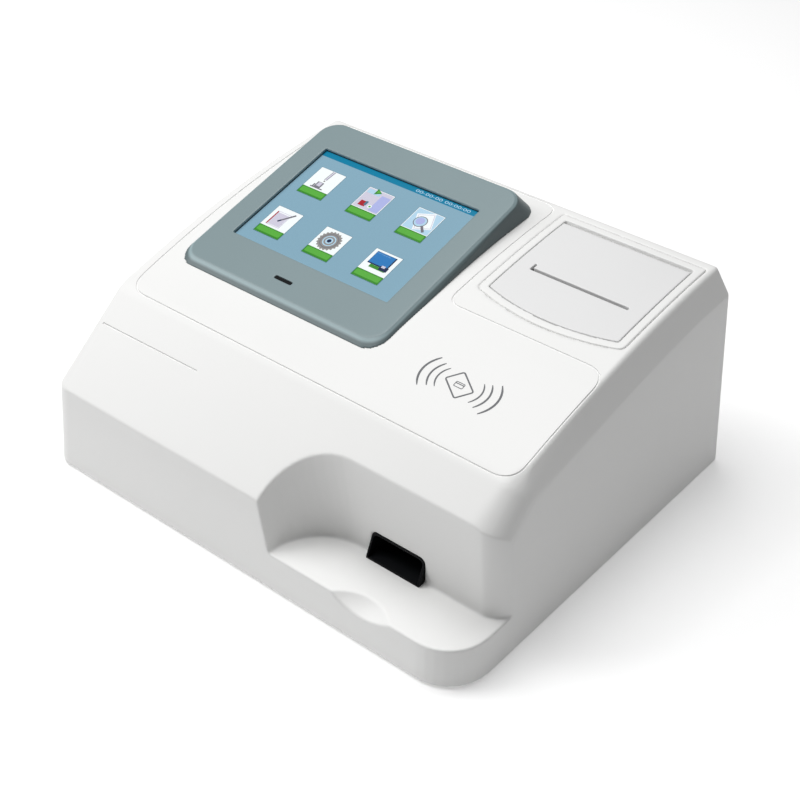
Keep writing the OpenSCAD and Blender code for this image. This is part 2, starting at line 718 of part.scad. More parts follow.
module lid_hinge_pin() color("silver") lifted() along_x(bin_x0 - bin_t + 0.6, hinge[0], hinge[1])
    cylinder(r = pin_r, h = bin_x1 - bin_x0 + 2 * bin_t - 1.2);

module paper_roll() color("#f8f8f4") lifted() along_x(printer_x - roll_w / 2, roll_at[0], roll_at[1])
    difference() {
        cylinder(r = roll_r, h = roll_w);
        translate([0, 0, -eps]) cylinder(r = roll_bore, h = roll_w + 2 * eps);
    }

module paper_spindle() color("#2a2c30") lifted() along_x(0, roll_at[0], roll_at[1]) {
    translate([0, 0, cheek_x0 - 1]) cylinder(r = spindle_r, h = cheek_x1 + cheek_t + 1 - cheek_x0 + 1);
    translate([0, 0, cheek_x0 + cheek_t + 0.4])
        cylinder(r = roll_bore - run, h = cheek_x1 - cheek_x0 - cheek_t - 0.8);
}

module platen_rubber() color("#1d1d1f") lifted() along_x(printer_x - paper_slot_l / 2 + 0.5, platen_at[0], platen_at[1])
    difference() {
        cylinder(r = platen_r, h = paper_slot_l - 1);
        translate([0, 0, -eps]) cylinder(r = platen_shaft_r + run / 5, h = paper_slot_l);
    }

module platen_shaft() color("silver") lifted() along_x(cheek_x0 - 1.5, platen_at[0], platen_at[1])
    cylinder(r = platen_shaft_r, h = gear_x + gear_t - cheek_x0 + 1.5);

module platen_gear() color("ivory") lifted() along_x(gear_x, platen_at[0], platen_at[1])
    gear(platen_teeth, platen_shaft_r + run / 5, 0);
module idler_gear() color("ivory") lifted() along_x(gear_x, idler_at[0], idler_at[1])
    gear(idler_teeth, stud_r + run, idler_phase);
shaft_r = 1;
module motor_pinion() color("goldenrod") lifted() along_x(gear_x, motor_at[0], motor_at[1])
    gear(pinion_teeth, shaft_r + run, pinion_phase);

printer_motor_l = 18;
module printer_motor() color("silver") lifted() along_x(cheek_x1 - printer_motor_l, motor_at[0], motor_at[1]) {
    cylinder(r = motor_r, h = printer_motor_l);
    cylinder(r = shaft_r, h = gear_x + gear_t - cheek_x1 + printer_motor_l);
}

head_h = 16;
module print_head() color("gray") lifted() translate([printer_x - paper_slot_l / 2 + 1, wall_y + 3, platen_at[1] - head_h * 0.6]) {
    cube([paper_slot_l - 2, 3, head_h]);
    translate([0, 3 - eps, head_h / 4]) cube([paper_slot_l - 2, slot_at - wall_y - 6.3, head_h / 2]);
}

// Card transport behind the slot
tray_top = ledge_h + guide_t - 0.2;
tray_y = setback_y + guide_l + 2;
rail_z = tray_top - tray_t - 5;
track_y = setback_y + wall + 1.5;
track_t = 4;
track_end = tray_y + tray_l + tray_travel + 8;
track_w = 2 * rod_x + 24;
track_top = rail_z + 4.5;
bush = 9;
bush_l = 10;
post_w = 5;
optics_d = 30;
optics_y = tray_y + tray_l - optics_d / 3;
lens_drop = 6;
lens_room = 7;
optics_z = tray_top + lens_room + lens_drop;
floor_t = 2.5;

module card_tray() color("#2b2d31") lifted() difference() {
    union() {
        translate([slot_x - tray_w / 2, tray_y, tray_top - tray_t]) cube([tray_w, tray_l, tray_t]);
        for (side = [-1, 1]) translate([slot_x + side * (tray_w / 2 - 0.75) - 0.75, tray_y + 4, tray_top - eps])
            cube([1.5, tray_l - 4, 2.5]);
        for (y = [0, tray_l - bush_l]) {
            translate([slot_x - rod_x - bush / 2, tray_y + y, tray_top - tray_t])
                cube([2 * rod_x + bush, bush_l, tray_t]);
            for (side = [-1, 1]) translate([slot_x + side * rod_x - bush / 2, tray_y + y, rail_z - bush / 2])
                cube([bush, bush_l, tray_top - tray_t - rail_z + bush / 2 + eps]);
        }
        translate([slot_x - bush * 0.6, tray_y + (tray_l - bush_l) / 2, rail_z - bush / 2])
            cube([bush * 1.2, bush_l, tray_top - tray_t - rail_z + bush / 2 + eps]);
    }
    for (side = [-1, 1]) translate([slot_x + side * rod_x, tray_y - eps, rail_z]) rotate([-90, 0, 0])
        cylinder(r = rod_r + run, h = tray_l + 1);
    translate([slot_x, tray_y - eps, rail_z]) rotate([-90, 0, 0]) cylinder(r = screw_r + run, h = tray_l + 1);
}

module transport_frame() color("silver") lifted() difference() {
    union() {
        translate([slot_x - track_w / 2, track_y, base_t]) cube([track_w, track_end + track_t - track_y, floor_t]);
        for (y = [track_y, track_end]) translate([slot_x - track_w / 2, y, base_t])
            cube([track_w, track_t, track_top - base_t]);
        for (side = [-1, 1]) translate([slot_x + side * (track_w - post_w) / 2 - post_w / 2, optics_y - optics_d / 2, base_t])
            cube([post_w, optics_d, optics_z - base_t]);
    }
    for (side = [-1, 1]) translate([slot_x + side * rod_x, track_y - eps, rail_z]) rotate([-90, 0, 0])
        cylinder(r = rod_r + run / 5, h = track_end + 2 * track_t - track_y);
    translate([slot_x, track_y - eps, rail_z]) rotate([-90, 0, 0]) cylinder(r = screw_r + run, h = track_end + 2 * track_t - track_y);
}

module guide_rod(side) color("silver") lifted() translate([slot_x + side * rod_x, track_y, rail_z]) rotate([-90, 0, 0])
    cylinder(r = rod_r, h = track_end + track_t - track_y);
module guide_rod_left() guide_rod(-1);
module guide_rod_right() guide_rod(1);

module lead_screw() color("silver") lifted() translate([slot_x, track_y + 0.5, rail_z]) rotate([-90, 0, 0])
    cylinder(r = screw_r, h = track_end + track_t - track_y - 0.8);

module transport_motor() color("#3a3c40") lifted() translate([slot_x - motor_w / 2, track_end + track_t, rail_z - motor_w / 2]) {
    difference() {
        cube([motor_w, motor_l, motor_w]);
        for (x = [0, motor_w], z = [0, motor_w]) translate([x, 0, z]) rotate([0, 45, 0])
            cube([3, 3 * motor_l, 3], center = true);
    }
}

lens_r = 7;
lens_wall = 1.5;
detector_w = 40;
detector_d = 22;
module optical_head() color("#202226") lifted() difference() {
    union() {
        translate([slot_x - track_w / 2, optics_y - optics_d / 2, optics_z]) cube([track_w, optics_d, optics_h]);
        translate([slot_x, optics_y, optics_z - lens_drop]) cylinder(r = lens_r, h = lens_drop + lens_wall);
    }
    translate([slot_x, optics_y, optics_z - lens_drop - eps]) cylinder(r = lens_r - lens_wall, h = lens_drop + lens_wall);
    translate([slot_x, optics_y - optics_d / 2 - eps, optics_z + optics_h / 2]) rotate([-90, 0, 0])
        cylinder(r = lamp_r + run, h = optics_d / 3);
}

module objective_lens() color("lightcyan") lifted() translate([slot_x, optics_y, optics_z - lens_drop * 0.85])
    cylinder(r = lens_r - lens_wall - run, h = lens_drop / 2);

lamp_r = 6;
module excitation_lamp() color("gold") lifted() translate([slot_x, optics_y - optics_d / 2, optics_z + optics_h / 2]) {
    rotate([-90, 0, 0]) translate([0, 0, -lamp_r]) cylinder(r = lamp_r, h = lamp_r + optics_d / 4);
    rotate([90, 0, 0]) cylinder(r = lamp_r * 1.5, h = lamp_r / 4);
}

module detector_board() color("darkgreen") lifted() translate([slot_x - detector_w / 2, optics_y - detector_d / 2,
    optics_z + optics_h]) {
    cube([detector_w, detector_d, board_t]);
    translate([detector_w * 0.35, detector_d * 0.27, board_t - eps])
        cube([detector_w * 0.3, detector_d * 0.46, 2.5 * board_t]);
}

// Card reader aerial under the top, beside the screen
reader_y = pad_y + 6;
reader_x = slot_x - 4;
reader_w = 46;
reader_l = 36;
module card_reader_board() color("darkgreen") lifted() translate([reader_x, reader_y, crown_z(reader_y) - wall - 0.6])
    rotate([crown_tilt(reader_y), 0, 0]) translate([-reader_w / 2, -reader_l / 2, -board_t]) {
        cube([reader_w, reader_l, board_t]);
        translate([reader_w / 2 - 6, reader_l / 2 - 6, 1 - board_t]) cube([12, 12, board_t / 2]);
    }

module main_board() color("darkgreen") lifted() translate([board_at[0], board_at[1], board_z]) {
    cube([board_w, board_d, board_t]);
    translate([board_w * 0.34, board_d * 0.4, board_t - eps]) cube([board_w * 0.16, board_w * 0.16, 1.4 * board_t]);
    translate([board_w * 0.58, board_d * 0.46, board_t - eps]) cube([board_w * 0.1, board_d * 0.11, board_t]);
    translate([board_w * 0.14, board_d * 0.17, board_t - eps]) cube([board_w * 0.27, 4 * board_t, 5 * board_t]);
    translate([board_w * 0.62, board_d * 0.84, board_t - eps]) cube([board_w * 0.2, 4 * board_t, 5 * board_t]);
    for (i = [0:3]) translate([board_w * (0.17 + 0.095 * i), board_d * 0.82, board_t - eps])
        cylinder(r = board_w * 0.027, h = 6 * board_t);
}

module power_supply() color("#3d5c2e") lifted() translate([supply_at[0], supply_at[1], board_z]) {
    cube([supply_w, supply_d, board_t]);
    translate([supply_w * 0.13, supply_d * 0.25, board_t - eps]) cube([supply_w * 0.39, supply_d * 0.46, supply_w * 0.32]);
    translate([supply_w * 0.62, supply_d * 0.14, board_t - eps]) cube([supply_w * 0.07, supply_d * 0.72, supply_w * 0.35]);
    for (y = [0.28, 0.66]) translate([supply_w * 0.85, supply_d * y, board_t - eps])
        cylinder(r = supply_w * 0.1, h = supply_w * 0.38);
}

module io_board() color("darkgreen") lifted() translate([io_at[0], io_at[1], io_z]) cube([io_w, io_d, board_t]);

// Connectors at the rear, drawn with their face towards +Y on the panel's outer face
panel_out = rear_y - wall - 0.05;
port_z = io_z + board_t;
inlet_at = [panel_x - panel_w / 2 + 22, panel_z + panel_h / 2];
rocker_at = [panel_x - panel_w / 2 + 56, panel_z + panel_h / 2];
serial_at = [io_at[0] + io_w * 0.18, port_z + 8];
network_at = [io_at[0] + io_w * 0.5, port_z];
usb_at = [for (x = [0.7, 0.88]) [io_at[0] + io_w * x, port_z]];
inlet_w = 27;
inlet_h = 20;
switch_w = 13;
switch_h = 19;
network_w = 16;
network_h = 13.5;
network_l = 18;
usb_l = 16;
usb_w = 14.5;
usb_h = 7;
serial_w = 19;
serial_h = 10.5;

module at_panel(p, y = panel_out) translate([p[0], y, p[1]]) rotate([90, 0, 0]) children();
module centred(w, h, l) translate([-w / 2, -h / 2, 0]) cube([w, h, l]);
module standing(w, h, l) translate([-w / 2, 0, 0]) cube([w, h, l]);

module rear_panel() color("silver") lifted() difference() {
    translate([panel_x - panel_w / 2 - 4, panel_out - panel_t, panel_z - 4]) cube([panel_w + 8, panel_t, panel_h + 8]);
    at_panel(inlet_at, panel_out + 1) centred(inlet_w + 4 * run, inlet_h + 4 * run, 2 * panel_t + 2);
    at_panel(rocker_at, panel_out + 1) centred(switch_w + 4 * run, switch_h + 4 * run, 2 * panel_t + 2);
    at_panel(serial_at, panel_out + 1) centred(serial_w + 4 * run, serial_h + 4 * run, 2 * panel_t + 2);
    at_panel(network_at, panel_out + 1) translate([0, -2 * run, 0]) standing(network_w + 4 * run, network_h + 4 * run, 2 * panel_t + 2);
    for (p = usb_at) at_panel(p, panel_out + 1) translate([0, -2 * run, 0]) standing(usb_w + 4 * run, usb_h + 4 * run, 2 * panel_t + 2);
}

inlet_deep = 17;
flange = 2;
module power_inlet() color("#18181a") lifted() at_panel(inlet_at, panel_out + flange) {
    difference() {
        union() {
            centred(inlet_w + 6, inlet_h + 5, flange);
            centred(inlet_w, inlet_h, inlet_deep + 4);
        }
        translate([0, 0, -eps]) centred(inlet_w - 3, inlet_h - 4, inlet_deep);
    }
    for (p = [[-7, -2], [0, 2.5], [7, -2]]) translate([p[0], p[1], 5]) centred(2, 4, inlet_deep - 3);
}

pivot_r = 1.2;
pivot_z = 6;
module switch_frame() color("#18181a") lifted() at_panel(rocker_at, panel_out + flange) difference() {
    union() {
        centred(switch_w + 2.5, switch_h + 2.5, flange);
        centred(switch_w, switch_h, 16);
    }
    translate([0, 0, -eps]) centred(switch_w - 2, switch_h - 2, 13);
    translate([-switch_w / 2 + 0.4, 0, pivot_z]) rotate([0, 90, 0]) cylinder(r = pivot_r + run, h = switch_w - 0.8);
}

module switch_rocker() color("#262628") lifted() at_panel(rocker_at, panel_out + flange) translate([0, 0, pivot_z])
    rotate([rocker_tilt, 0, 0]) {
        rotate([0, 90, 0]) translate([0, 0, -switch_w / 2 + 0.6]) cylinder(r = pivot_r, h = switch_w - 1.2);
        rotate([0, -90, 0]) translate([0, 0, -switch_w / 2 + 1.3]) linear_extrude(switch_w - 2.6) intersection() {
            circle(switch_h / 2 - 1.3);
            translate([-pivot_r - 2, -switch_h]) square([pivot_r + 2 + 6, 2 * switch_h]);
            translate([0, 0]) mirror([1, 0]) polygon([[6.5, 0], [8.5, switch_h / 2], [-4, switch_h / 2], [-4, -switch_h / 2], [8.5, -switch_h / 2]]);
        }
    }

module serial_port() color("silver") lifted() at_panel(serial_at, panel_out + flange) difference() {
    union() {
        centred(serial_w, serial_h, 13);
        translate([0, 0, flange]) centred(serial_w, serial_h, 3);
        translate([-serial_w / 2, -8, flange + panel_t + 0.2]) cube([serial_w, 8, 12]);
    }
    translate([0, 0, -eps]) centred(serial_w - 2, serial_h - 2, 5);
}

module network_port() color("silver") lifted() at_panel(network_at, panel_out + flange / 2) difference() {
    standing(network_w, network_h, network_l);
    translate([0, network_h * 0.19, -eps]) standing(network_w * 0.74, network_h * 0.61, network_l * 0.67);
}

module usb_ports() color("silver") lifted() for (p = usb_at) at_panel(p, panel_out + flange / 2) {
    difference() {
        standing(usb_w, usb_h, usb_l);
        translate([0, usb_h * 0.13, -eps]) standing(usb_w * 0.86, usb_h * 0.74, usb_l * 0.69);
    }
    translate([0, usb_h * 0.56, usb_l / 16]) standing(usb_w * 0.76, usb_h * 0.27, usb_l * 0.69);
}

upper_housing();
base_plate();
base_screws();
foot_front_left();
foot_front_right();
foot_rear_left();
foot_rear_right();
screen_bezel();
touch_glass();
display_module();
display_plate();
display_screws();
status_window();
printer_frame();
printer_lid();
lid_hinge_pin();
paper_roll();
paper_spindle();
platen_rubber();
platen_shaft();
platen_gear();
idler_gear();
motor_pinion();
printer_motor();
print_head();
card_slot_guide();
card_tray();
transport_frame();
guide_rod_left();
guide_rod_right();
lead_screw();
transport_motor();
optical_head();
objective_lens();
excitation_lamp();
detector_board();
card_reader_board();
main_board();
power_supply();
io_board();
rear_panel();
power_inlet();
switch_frame();
switch_rocker();
serial_port();
network_port();
usb_ports();
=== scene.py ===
import math

import bpy
from mathutils import Matrix, Vector


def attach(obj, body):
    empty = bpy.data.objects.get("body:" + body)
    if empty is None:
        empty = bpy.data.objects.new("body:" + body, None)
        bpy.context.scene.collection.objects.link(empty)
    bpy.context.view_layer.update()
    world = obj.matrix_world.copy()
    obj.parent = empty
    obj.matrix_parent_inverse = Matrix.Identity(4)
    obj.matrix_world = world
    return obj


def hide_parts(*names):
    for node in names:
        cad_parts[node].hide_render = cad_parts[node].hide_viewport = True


mm = 0.001
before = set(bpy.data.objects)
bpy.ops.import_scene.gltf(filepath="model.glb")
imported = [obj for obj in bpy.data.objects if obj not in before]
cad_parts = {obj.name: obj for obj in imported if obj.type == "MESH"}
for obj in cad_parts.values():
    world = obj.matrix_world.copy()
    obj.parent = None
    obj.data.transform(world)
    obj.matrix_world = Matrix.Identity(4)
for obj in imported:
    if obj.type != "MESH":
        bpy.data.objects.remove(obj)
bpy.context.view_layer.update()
scene = bpy.context.scene
print("frame loaded:", len(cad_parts), "nodes")

# the crowned top of the solids, in mm: foot height, (y, z) of the arc's ends above the feet, its rise
shape = {"drop": 2.5, "crease": (-61.4, 87.6), "crest": (111.8, 119.2), "crown": 5.7}


def crownArc():
    (y0, z0), (y1, z1) = shape["crease"], shape["crest"]
    span = math.hypot(y1 - y0, z1 - z0)
    radius = (span * span / 4 + shape["crown"] ** 2) / (2 * shape["crown"])
    lift = radius - shape["crown"]
    midY = (y0 + y1) / 2 + (z1 - z0) / span * lift
    midZ = (z0 + z1) / 2 - (y1 - y0) / span * lift
    return midY, midZ, radius


crownY, crownZ, crownRadius = crownArc()


def topZ(y):  # height of the crowned top at y, feet included
    return crownZ + math.sqrt(crownRadius ** 2 - (y - crownY) ** 2) + shape["drop"]


def topTilt(y):  # slope of the crowned top at y
    return -math.asin((y - crownY) / crownRadius)


# camera: turn and rise in degrees, the rest in mm
view = {
    "turn": 39.847,
    "rise": 36.801,
    "place": (423.11, -495.30, 527.66),
    "lens": 68.544,
    "sensor": 36,
    "near": 10,
}


def makeCamera():
    turn, rise = math.radians(view["turn"]), math.radians(view["rise"])
    back = Vector((math.sin(turn) * math.cos(rise), -math.cos(turn) * math.cos(rise), math.sin(rise)))
    bpy.ops.object.camera_add(location=[c * mm for c in view["place"]])
    camera = bpy.context.object
    camera.name = "camera"
    camera.rotation_euler = (-back).to_track_quat("-Z", "Y").to_euler()
    camera.data.sensor_width = view["sensor"]
    camera.data.lens = view["lens"]
    camera.data.clip_start = view["near"] * mm
    scene.camera = camera


makeCamera()

# studio: places and sizes in metres, power in watts
studio = {
    "world": (0.95, 0.97, 1.0),
    "worldPower": 0.03,
    "floorSize": 6.0,
    "floorColour": (0.93, 0.93, 0.93),
    "floorGlow": (1, 1, 1),
    "floorGlowPower": 0.24,
    "floorRough": 0.7,
}
lamps = {
    "overhead": {"place": (-0.30, 0.05, 1.6), "aim": (0, 0, 0.05), "size": (1.5, 1.2), "power": 25.0},
    "frontLeft": {"place": (-1.2, -0.65, 1.2), "aim": (0, 0, 0.05), "size": (0.9, 0.9), "power": 10.2},
}


def newPaint(name):
    mat = bpy.data.materials.new(name)
    mat.use_nodes = True
    return mat, mat.node_tree.nodes["Principled BSDF"]


def tinted(colour, share=1):  # a colour made darker or lighter, with its alpha
    return (*[min(1, c * share) for c in colour], 1)


def paintFloor():
    mat, shader = newPaint("paleFloor")
    shader.inputs["Base Color"].default_value = tinted(studio["floorColour"])
    shader.inputs["Roughness"].default_value = studio["floorRough"]
    shader.inputs["Emission Color"].default_value = tinted(studio["floorGlow"])
    shader.inputs["Emission Strength"].default_value = studio["floorGlowPower"]
    return mat


def makeStudio():
    scene.view_settings.view_transform = "Standard"
    scene.view_settings.look = "None"
    world = bpy.data.worlds.new("studioWorld")
    scene.world = world
    world.use_nodes = True
    backdrop = world.node_tree.nodes["Background"]
    backdrop.inputs["Color"].default_value = tinted(studio["world"])
    backdrop.inputs["Strength"].default_value = studio["worldPower"]
    for name, lamp in lamps.items():
        bpy.ops.object.light_add(type="AREA", location=lamp["place"])
        light = bpy.context.object
        light.name = name
        light.data.shape = "RECTANGLE"
        light.data.size, light.data.size_y = lamp["size"]
        light.data.energy = lamp["power"]
        aim = Vector(lamp["aim"]) - Vector(lamp["place"])
        light.rotation_euler = aim.to_track_quat("-Z", "Y").to_euler()
    bpy.ops.mesh.primitive_plane_add(size=studio["floorSize"])
    floor = bpy.context.object
    floor.name = "studioFloor"
    floor.data.materials.append(paintFloor())


# finishes: colour, roughness, fineness and height of the grain, drift of the colour, gloss if unusual
finishes = {
    "whiteShell": {"colour": (0.86, 0.86, 0.85), "rough": 0.42, "grain": 2600, "height": 0.035,
                   "drift": 0.02},
    "whiteLid": {"colour": (0.78, 0.78, 0.78), "rough": 0.45, "grain": 2600, "height": 0.035, "drift": 0.02},
    "basePlastic": {"colour": (0.78, 0.78, 0.77), "rough": 0.55, "grain": 2000, "height": 0.06,
                    "drift": 0.03},
    "padBlue": {"colour": (0.225, 0.295, 0.31), "rough": 0.36, "grain": 3000, "height": 0.03, "drift": 0.03,
                "gloss": 0.35},
    "blackPlastic": {"colour": (0.004, 0.0045, 0.0055), "rough": 0.5, "grain": 2400, "height": 0.05,
                     "drift": 0.15, "gloss": 0.1},
    "darkPlastic": {"colour": (0.03, 0.032, 0.036), "rough": 0.45, "grain": 2200, "height": 0.05,
                    "drift": 0.12},
    "footRubber": {"colour": (0.02, 0.02, 0.021), "rough": 0.85, "grain": 1500, "height": 0.12, "drift": 0.2},
    "gearIvory": {"colour": (0.80, 0.77, 0.68), "rough": 0.4, "grain": 2400, "height": 0.03, "drift": 0.04},
    "rollPaper": {"colour": (0.90, 0.90, 0.88), "rough": 0.8, "grain": 5000, "height": 0.05, "drift": 0.02},
    "headCeramic": {"colour": (0.30, 0.30, 0.32), "rough": 0.35, "grain": 2600, "height": 0.02,
                    "drift": 0.08},
    "boardGreen": {"colour": (0.02, 0.13, 0.06), "rough": 0.38, "grain": 900, "height": 0.03, "drift": 0.35},
    "signGrey": {"colour": (0.13, 0.135, 0.145), "rough": 0.5, "grain": 4000, "height": 0.03, "drift": 0.08},
    "glassDark": {"colour": (0.02, 0.03, 0.035), "rough": 0.12, "grain": 700, "height": 0.004, "drift": 0.1},
}
metals = {
    "satinSteel": {"colour": (0.62, 0.63, 0.65), "rough": 0.30, "grain": 900},
    "castAluminium": {"colour": (0.72, 0.73, 0.75), "rough": 0.42, "grain": 1400},
    "brassTurned": {"colour": (0.70, 0.52, 0.22), "rough": 0.28, "grain": 1200},
    "motorBlack": {"colour": (0.05, 0.05, 0.055), "rough": 0.38, "grain": 1200},
}
paints = {}
# what the plastics share: scale and detail of the colour clouds, the grain, how far the roughness strays
plastic = {
    "cloud": 14,
    "cloudDetail": 4,
    "speckDetail": 3,
    "bump": 0.0004,
    "sheen": (-0.04, 0.05),
    "gloss": 0.45,
}
# what the metals share: stretch and detail of the drawn lines, how far tone and roughness stray
drawn = {"stretch": (1, 0.04, 1), "detail": 2, "tones": (0.9, 1.08), "sheen": (-0.06, 0.10)}


def plasticPaint(name):
    spec = finishes[name]
    mat, shader = newPaint(name)
    tree = mat.node_tree
    place = tree.nodes.new("ShaderNodeTexCoord")
    cloud = tree.nodes.new("ShaderNodeTexNoise")  # slow drift of the moulded colour
    cloud.inputs["Scale"].default_value = plastic["cloud"]
    cloud.inputs["Detail"].default_value = plastic["cloudDetail"]
    tone = tree.nodes.new("ShaderNodeMix")
    tone.data_type = "RGBA"
    tone.inputs["A"].default_value = tinted(spec["colour"], 1 - spec["drift"])
    tone.inputs["B"].default_value = tinted(spec["colour"], 1 + spec["drift"])
    speck = tree.nodes.new("ShaderNodeTexNoise")  # fine spark-eroded grain
    speck.inputs["Scale"].default_value = spec["grain"]
    speck.inputs["Detail"].default_value = plastic["speckDetail"]
    bump = tree.nodes.new("ShaderNodeBump")
    bump.inputs["Strength"].default_value = spec["height"]
    bump.inputs["Distance"].default_value = plastic["bump"]
    sheen = tree.nodes.new("ShaderNodeMapRange")
    sheen.inputs["To Min"].default_value = spec["rough"] + plastic["sheen"][0]
    sheen.inputs["To Max"].default_value = spec["rough"] + plastic["sheen"][1]
    link = tree.links.new
    link(place.outputs["Object"], cloud.inputs["Vector"])
    link(place.outputs["Object"], speck.inputs["Vector"])
    link(cloud.outputs["Fac"], tone.inputs["Factor"])
    link(tone.outputs["Result"], shader.inputs["Base Color"])
    link(cloud.outputs["Fac"], sheen.inputs["Value"])
    link(sheen.outputs["Result"], shader.inputs["Roughness"])
    link(speck.outputs["Fac"], bump.inputs["Height"])
    link(bump.outputs["Normal"], shader.inputs["Normal"])
    shader.inputs["Specular IOR Level"].default_value = spec.get("gloss", plastic["gloss"])
    return mat


def metalPaint(name):
    spec = metals[name]
    mat, shader = newPaint(name)
    tree = mat.node_tree
    shader.inputs["Metallic"].default_value = 1.0
    place = tree.nodes.new("ShaderNodeTexCoord")
    brush = tree.nodes.new("ShaderNodeMapping")  # long drawn lines
    brush.inputs["Scale"].default_value = drawn["stretch"]
    lines = tree.nodes.new("ShaderNodeTexNoise")
    lines.inputs["Scale"].default_value = spec["grain"]
    lines.inputs["Detail"].default_value = drawn["detail"]
    tone = tree.nodes.new("ShaderNodeMix")
    tone.data_type = "RGBA"
    tone.inputs["A"].default_value = tinted(spec["colour"], drawn["tones"][0])
    tone.inputs["B"].default_value = tinted(spec["colour"], drawn["tones"][1])
    sheen = tree.nodes.new("ShaderNodeMapRange")
    sheen.inputs["To Min"].default_value = spec["rough"] + drawn["sheen"][0]
    sheen.inputs["To Max"].default_value = spec["rough"] + drawn["sheen"][1]
    link = tree.links.new
    link(place.outputs["Object"], brush.inputs["Vector"])
    link(brush.outputs["Vector"], lines.inputs["Vector"])
    link(lines.outputs["Fac"], tone.inputs["Factor"])
    link(tone.outputs["Result"], shader.inputs["Base Color"])
    link(lines.outputs["Fac"], sheen.inputs["Value"])
    link(sheen.outputs["Result"], shader.inputs["Roughness"])
    return mat


# inks of the lit page: colour and how much of it glows
inks = {
    "pageBlue": {"colour": (0.162, 0.277, 0.35), "glow": 0.42},
    "titleTeal": {"colour": (0.00264, 0.135, 0.238), "glow": 0.5},
    "tileWhite": {"colour": (0.594, 0.627, 0.634), "glow": 0.5},
    "tileEdge": {"colour": (0.066, 0.145, 0.198), "glow": 0.3},
    "barGreen": {"colour": (0.0693, 0.277, 0.0363), "glow": 0.5},
    "barDeep": {"colour": (0.033, 0.178, 0.0198), "glow": 0.4},
    "iconGrey": {"colour": (0.132, 0.132, 0.152), "glow": 0.35},
    "iconPale": {"colour": (0.409, 0.396, 0.475), "glow": 0.5},
    "iconViolet": {"colour": (0.277, 0.304, 0.515), "glow": 0.5},
    "iconRed": {"colour": (0.277, 0.0132, 0.0198), "glow": 0.45},
    "iconBlue": {"colour": (0.0198, 0.132, 0.343), "glow": 0.45},
    "iconSky": {"colour": (0.297, 0.436, 0.541), "glow": 0.5},
    "iconNavy": {"colour": (0.0099, 0.0198, 0.0594), "glow": 0.3},
    "iconSteel": {"colour": (0.198, 0.191, 0.185), "glow": 0.4},
}
# the display's pixels: how many in a metre, their two tones, the glass over them
pixels = {"count": 5900, "tones": (0.94, 1.05), "rough": 0.32, "gloss": 0.12}


def inkPaint(name):
    spec = inks[name]
    mat, shader = newPaint(name)
    tree = mat.node_tree
    place = tree.nodes.new("ShaderNodeTexCoord")
    dots = tree.nodes.new("ShaderNodeTexChecker")
    dots.inputs["Scale"].default_value = pixels["count"]
    dots.inputs["Color1"].default_value = tinted(spec["colour"], pixels["tones"][0])
    dots.inputs["Color2"].default_value = tinted(spec["colour"], pixels["tones"][1])
    link = tree.links.new
    link(place.outputs["Object"], dots.inputs["Vector"])
    link(dots.outputs["Color"], shader.inputs["Base Color"])
    link(dots.outputs["Color"], shader.inputs["Emission Color"])
    shader.inputs["Emission Strength"].default_value = spec["glow"]
    shader.inputs["Roughness"].default_value = pixels["rough"]
    shader.inputs["Specular IOR Level"].default_value = pixels["gloss"]
    return mat


def mixPaints():
    for name in finishes:
        paints[name] = plasticPaint(name)
    for name in inks:
        paints[name] = inkPaint(name)
    for name in metals:
        paints[name] = metalPaint(name)


mixPaints()
makeStudio()
print("camera, studio and finishes ready")


def dropPick():
    if bpy.context.object and bpy.context.object.mode != "OBJECT":
        bpy.ops.object.mode_set(mode="OBJECT")
    bpy.ops.object.select_all(action="DESELECT")


def pick(piece):
    dropPick()
    piece.select_set(True)
    bpy.context.view_layer.objects.active = piece


def openMesh(piece):
    pick(piece)
    bpy.ops.object.mode_set(mode="EDIT")
    bpy.ops.mesh.select_all(action="SELECT")


def closeMesh():
    bpy.ops.object.mode_set(mode="OBJECT")


def useModifier(piece, kind, **values):
    pick(piece)
    modifier = piece.modifiers.new(kind.lower(), kind)
    for key, value in values.items():
        setattr(modifier, key, value)
    bpy.ops.object.modifier_apply(modifier=modifier.name)


def dress(piece, paint):
    piece.data.materials.clear()
    piece.data.materials.append(paints[paint])


weld = {"solid": 0.002, "tube": 0.001}  # points closer than this, in mm, become one


def loneCopy(name, node):  # a welded copy of a solid that rides on nothing yet
    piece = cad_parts[node].copy()
    piece.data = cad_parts[node].data.copy()
    piece.name = name
    piece.data.name = name
    for key in list(piece.keys()):
        if key.startswith("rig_"):
            del piece[key]
    scene.collection.objects.link(piece)
    piece.parent = None
    openMesh(piece)
    bpy.ops.mesh.remove_doubles(threshold=weld["solid"] * mm)
    closeMesh()
    return piece


# moulded pieces: copies of the solids, remeshed so that every edge gets a moulded radius
def mouldedCopy(name, node, voxel, rounds, share):
    piece = loneCopy(name, node)
    useModifier(piece, "REMESH", mode="VOXEL", voxel_size=voxel * mm)
    useModifier(piece, "SMOOTH", factor=0.5, iterations=rounds)
    useModifier(piece, "DECIMATE", decimate_type="COLLAPSE", ratio=share)
    pick(piece)
    bpy.ops.object.shade_smooth()
    print(name, "has", len(piece.data.polygons), "faces")
    return piece


def cutBore(piece, node, room):  # room for a shaft along X to turn, which the remesh has narrowed
    cutter = loneCopy("boreCutter", node)
    corners = [Vector(corner) for corner in cutter.bound_box]
    middle = (corners[0] + corners[6]) / 2  # between opposite corners of its box
    openMesh(cutter)
    bpy.ops.transform.resize(value=(1, room, room), center_override=middle)
    closeMesh()
    useModifier(piece, "BOOLEAN", operation="DIFFERENCE", solver="EXACT", object=cutter)
    pick(cutter)
    bpy.ops.object.delete()


